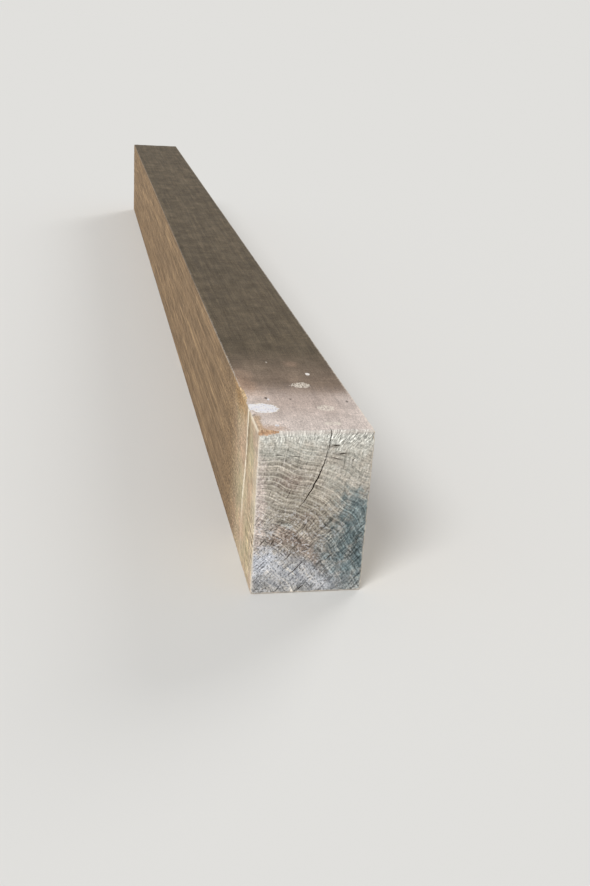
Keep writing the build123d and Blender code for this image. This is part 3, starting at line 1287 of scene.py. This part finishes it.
def sawn_side(kit, size, colours):
    """The sides: pale near the end, with upright saw marks over the long grain."""
    g = Finish("sawn_side", kit, size, colours)
    grain = g.grain()
    wood = g.rings(3.0)
    z, behind, on_left = g.coordinates[2], g.behind, g.on_left
    drift = g.pattern((40.0, 34.0, 40.0), detail=3.0, rough=0.6)
    colour = side_tones(g, grain, drift)

    # Two faint marks to each of those cut into the mesh
    slanted = behind + z * SAW_SLANT + g.pattern((40.0, 8.0, 60.0)) * 9.0
    marks = g.math("SINE", slanted * (math.tau / SAW_MARKS * 2))
    scuffs = g.pattern((3.0, 2.4, 24.0), detail=3.0, rough=0.65)
    specks = g.pattern((2.0, 3.0, 2.0), detail=2.0, rough=0.7)
    far_back = g.ramp(behind, 130.0, 260.0)
    light = grain["Streaks"] * (far_back * 1.4 + 0.6) + grain["Fibres"] * 0.9 + grain["Clouds"] * 0.9
    scuffed = (on_left + 0.3) * (1.0 - far_back * 0.85)
    specked = on_left * g.ramp(behind + drift * 60.0, 60.0, 110.0, 0.0, 2.1) + 0.9
    specked = specked * (1.0 - far_back * 0.8)
    light = light + marks * 0.04 + scuffs * scuffed + specks * specked - wood["Pores"] * 0.10
    dashed = g.between(behind, 90.0, 110.0, 130.0, 150.0) * g.between(z, 22.0, 40.0, 72.0, 86.0) * on_left
    light = light - g.ramp(scuffs, 0.02, 0.10) * dashed * 0.1

    lifted = g.join(0.0, behind + z * SPLINTER_RISE, z - behind * SPLINTER_RISE)
    splinters = g.noise(lifted, (1.0, 16.0, 1.7), detail=3.0, rough=0.6)
    splintered = g.ramp(behind + grain["Clouds"] * 60.0, 55.0, 12.0) * on_left
    splintered = splintered * g.between(z, 0.0, 10.0, 56.0, 84.0)
    colour = g.mix(g.ramp(splinters, 0.02, -0.10) * splintered * 0.8, colour, colours.ochre_streaks_and_shade)
    light = light + splinters * splintered * 4.5

    # The lip stands proud of a hollow in front of it. Painted shade darkens the hollow and turns it browner,
    # a painted shadow line lies just behind the lip, and the lip's colour is a painted highlight, brightest
    # at its top.
    lip_at = g.ramp(z, LIP_FALLS_FROM, LIP_FALLS_TO, LIP_AT, LIP_AT + LIP_FALL)
    wobble = g.pattern((60.0, 60.0, 6.0), detail=2.0)
    in_front = lip_at - behind + scuffs * 2.0 + wobble * 4.0
    hollow = g.between(in_front, 0.0, 2.0, 5.0, 22.0) * g.ramp(z, 80.0, 126.0) * on_left
    crease_shadow = g.between(in_front, -6.5, -3.5, -2.5, -1.0) * g.ramp(z, 112.0, 136.0) * on_left
    colour = g.mix(hollow * 0.4, colour, colours.ochre_streaks_and_shade)
    colour = g.shaded(colour, light - hollow * 0.28 - crease_shadow * 0.45)
    lip_half = g.pattern((60.0, 60.0, 11.0), detail=2.0) * 3.0 + g.ramp(z, 130.0, 142.0, 2.9, 5.2)
    lip_highlight = g.ramp(g.math("ABSOLUTE", in_front) / lip_half, 1.0, 0.4) * on_left
    colour = g.mix(lip_highlight * g.ramp(z, 25.0, 85.0, 0.25, 0.95), colour, colours.lip)

    # The side's arrises get pale wear and a painted highlight; beside the torn corner a painted highlight in
    # the lip's colour runs along the arris
    pale_wear_and_highlight = g.near_arris(2.2)
    colour = g.mix(pale_wear_and_highlight * arris_wear_and_highlight(g, behind), colour, colours.pale_wear_and_highlight)
    highlight_beside_tear = bared_arris_and_highlight(g, behind) * g.ramp(behind, 2.0, 9.0) * g.ramp(z, 144.5, 147.5) * on_left
    colour = g.mix(highlight_beside_tear * (grain["Clouds"] * 1.5 + 0.6), colour, colours.lip)
    height = grain["Fibres"] + grain["Streaks"] * (far_back + 1.0) + marks * 0.16 + scuffs * scuffed
    height = height + specks * 0.7 + splinters * splintered * 3.0
    return g.finished(colour, g.dullness(grain["Clouds"], 0.92, 0.82), height, 0.4)


def plain_end(kit, size, colours):
    """The plain end: brown end grain from the saw, not yet silvered."""
    g = Finish("plain_end_grain", kit, size, colours)
    wood = g.rings(2.6)
    mottle = g.pattern((8.0, 9.0, 8.0), detail=3.0, rough=0.6)
    light = wood["Along rings"] * 1.2 + wood["Along rays"] + mottle * 0.8
    light = light + wood["Late wood"] * 0.16 - wood["Pores"] * 0.34 - wood["Hair checks"] * 0.20
    colour = g.shaded(colours.cut, light)
    pale_wear_and_highlight = g.near_arris(2.2)
    colour = g.mix(pale_wear_and_highlight * 0.2, colour, colours.pale_wear_and_highlight)
    height = mottle + wood["Late wood"] * 0.5 - wood["Pores"] * 0.8 + wood["Along rays"] * 0.6
    return g.finished(colour, g.dullness(mottle, 0.9, 0.8), height, 0.25)


def split_wood(kit, size, colours):
    """The walls of the checks: brown wood, with painted shade that darkens them with depth."""
    g = Finish("split_wood", kit, size, colours)
    fibres = g.grain()["Fibres"]
    depth = g.use(kit.arris, place=g.place)["Depth"]
    # Painted shade: darker with depth into the check
    colour = g.mix(g.ramp(depth, 0.3, 1.8), colours.split, colours.deep)
    return g.finished(g.shaded(colour, fibres * 1.5), 0.9, fibres, 0.25)


def torn_wood(kit, size, colours):
    """Wood bared by the torn corner and the bruise: warm brown, with its fibres pulled out."""
    g = Finish("torn_wood", kit, size, colours)
    fibres = g.grain()["Fibres"]
    mottle = g.pattern((3.4, 4.0, 3.4), detail=4.0, rough=0.65)
    behind = g.behind
    torn = g.mix(g.ramp(behind + mottle * 12.0, 2.0, 7.0), colours.fresh, colours.bared)
    torn = g.mix(g.ramp(behind + mottle * 5.0, 1.5, 0.3) * 0.6, torn, colours.pale_wear_and_highlight)
    bruised = g.ramp(behind, size.torn_back + 12.0, size.bruise_start - 12.0)
    colour = g.mix(bruised, torn, colours.bruised)
    return g.finished(g.shaded(colour, fibres * 1.8 + mottle * 2.2), 0.85, fibres + mottle, 0.6)


# Edges that turn by more than this stay sharp
SHARP_FROM = math.radians(40)


class MakeBeam(bpy.types.Operator):
    """Makes the weathered beam that stands for the plain solid"""

    bl_idname = "oak_beam.make_beam"
    bl_label = "Make the Beam"

    def execute(self, context):
        size = values_of(context.scene.oak_beam_sizes, lambda metres: metres / MM)
        colours = values_of(context.scene.oak_beam_colours, tuple)
        bm = sawn_stick(size)
        name_finishes(bm)
        weather_surface(bm, size)
        tear_corner(bm, size)
        bruise_arris(bm, size)

        beam = bpy.data.objects.new("weathered_oak_beam", mesh_of("weathered_oak_beam", bm))
        context.scene.collection.objects.link(beam)
        kit = Kit(size)
        for finish in (weathered_end, weathered_top, sawn_side, plain_end, split_wood, torn_wood):
            beam.data.materials.append(finish(kit, size, colours))
        split_with(beam, blades(size))
        beam.data.shade_smooth()
        beam.data.set_sharp_from_angle(angle=SHARP_FROM)

        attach(beam, "root")
        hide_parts(NODE)
        return {"FINISHED"}


# Where the two soft suns stand, seen from the beam, and how wide they are
KEY_FROM = Vector((-0.46, -0.53, 0.71))
FILL_FROM = Vector((0.55, 0.65, 0.52))
SUN_WIDTH = math.radians(25)


def soft_sun(context, name, strength, direction):
    """A wide sun lamp that shines from a direction."""
    lamp = bpy.data.lights.new(name, "SUN")
    lamp.energy = strength
    lamp.angle = SUN_WIDTH
    holder = bpy.data.objects.new(name, lamp)
    holder.rotation_euler = direction.to_track_quat("Z", "Y").to_euler()
    context.scene.collection.objects.link(holder)


def make_floor(context, stage):
    """A plain square floor with a dull finish."""
    bm = bmesh.new()
    bmesh.ops.create_grid(bm, x_segments=1, y_segments=1, size=stage.floor_size / 2)
    mesh = bpy.data.meshes.new("floor")
    bm.to_mesh(mesh)
    bm.free()
    floor = bpy.data.objects.new("floor", mesh)
    context.scene.collection.objects.link(floor)
    material, shader = new_material("pale_floor")
    shader.inputs["Base Color"].default_value = (*stage.floor_colour, 1.0)
    shader.inputs["Roughness"].default_value = 1.0
    shader.inputs["Specular IOR Level"].default_value = 0.0
    mesh.materials.append(material)


def make_sky(context, stage):
    """An even sky. Where it is seen, it has the colour of the lit floor, so no horizon shows."""
    world = bpy.data.worlds.new("even_sky")
    world.use_nodes = True
    g = Graph(world.node_tree)
    sky = world.node_tree.nodes["Background"]
    sky.inputs["Color"].default_value = (1.0, 1.0, 1.0, 1.0)
    sky.inputs["Strength"].default_value = stage.sky
    on_floor = stage.sky
    for strength, direction in ((stage.key, KEY_FROM), (stage.fill, FILL_FROM)):
        on_floor += strength * direction.normalized().z / math.pi
    backdrop = g.node("Background", {"Color": stage.floor_colour, "Strength": on_floor})
    path = g.node("LightPath", {}).outputs
    seen = g.math("MAXIMUM", path["Is Camera Ray"], path["Is Glossy Ray"])
    seen = g.math("MAXIMUM", seen, path["Is Transmission Ray"])
    shown = g.node("MixShader", {0: seen, 1: sky.outputs[0], 2: backdrop.outputs[0]})
    g.feed(world.node_tree.nodes["World Output"].inputs["Surface"], shown.outputs[0])
    context.scene.world = world


def make_camera(context, stage):
    """A camera in front of the weathered end, above it and to the left."""
    camera = bpy.data.cameras.new("camera")
    camera.lens = stage.lens
    camera.sensor_width = 36.0
    camera.clip_start = 0.01
    forward = Vector((math.sin(stage.turn) * math.cos(stage.tip),
                      math.cos(stage.turn) * math.cos(stage.tip), -math.sin(stage.tip)))
    level = Vector((math.cos(stage.turn), -math.sin(stage.turn), 0))
    upright = level.cross(forward)
    right = level * math.cos(stage.lean) + upright * math.sin(stage.lean)
    up = upright * math.cos(stage.lean) - level * math.sin(stage.lean)
    place = Vector((-stage.camera_left, low_corner.y - stage.camera_front, stage.camera_up))
    holder = bpy.data.objects.new("camera", camera)
    holder.matrix_world = Matrix.Translation(place) @ Matrix((right, up, -forward)).transposed().to_4x4()
    context.scene.collection.objects.link(holder)
    context.scene.camera = holder


class MakeStage(bpy.types.Operator):
    """Makes the floor, the light and the camera"""

    bl_idname = "oak_beam.make_stage"
    bl_label = "Make the Stage"

    def execute(self, context):
        stage = context.scene.oak_beam_stage
        make_floor(context, stage)
        make_sky(context, stage)
        for name, strength, direction in (("key", stage.key, KEY_FROM), ("fill", stage.fill, FILL_FROM)):
            soft_sun(context, name, strength, direction)
        make_camera(context, stage)
        context.scene.view_settings.view_transform = "Standard"
        return {"FINISHED"}


class OakBeamPanel(bpy.types.Panel):
    """Lists the beam's settings and the operators that make it"""

    bl_idname = "VIEW3D_PT_oak_beam"
    bl_label = "Oak Beam"
    bl_space_type = "VIEW_3D"
    bl_region_type = "UI"
    bl_category = "Oak Beam"

    def draw(self, context):
        scene = context.scene
        for settings in (scene.oak_beam_sizes, scene.oak_beam_colours, scene.oak_beam_stage):
            box = self.layout.box()
            for name in setting_names(settings):
                box.prop(settings, name)
        for operator in (MakeBeam, MakeStage):
            self.layout.operator(operator.bl_idname)


CLASSES = (BeamSizes, BeamColours, StageSettings, MakeBeam, MakeStage, OakBeamPanel)


def register():
    for cls in CLASSES:
        bpy.utils.register_class(cls)
    bpy.types.Scene.oak_beam_sizes = bpy.props.PointerProperty(type=BeamSizes)
    bpy.types.Scene.oak_beam_colours = bpy.props.PointerProperty(type=BeamColours)
    bpy.types.Scene.oak_beam_stage = bpy.props.PointerProperty(type=StageSettings)


def unregister():
    del bpy.types.Scene.oak_beam_stage
    del bpy.types.Scene.oak_beam_colours
    del bpy.types.Scene.oak_beam_sizes
    for cls in reversed(CLASSES):
        bpy.utils.unregister_class(cls)


def main():
    register()
    bpy.ops.oak_beam.make_beam()
    bpy.ops.oak_beam.make_stage()


if __name__ == "__main__":
    main()
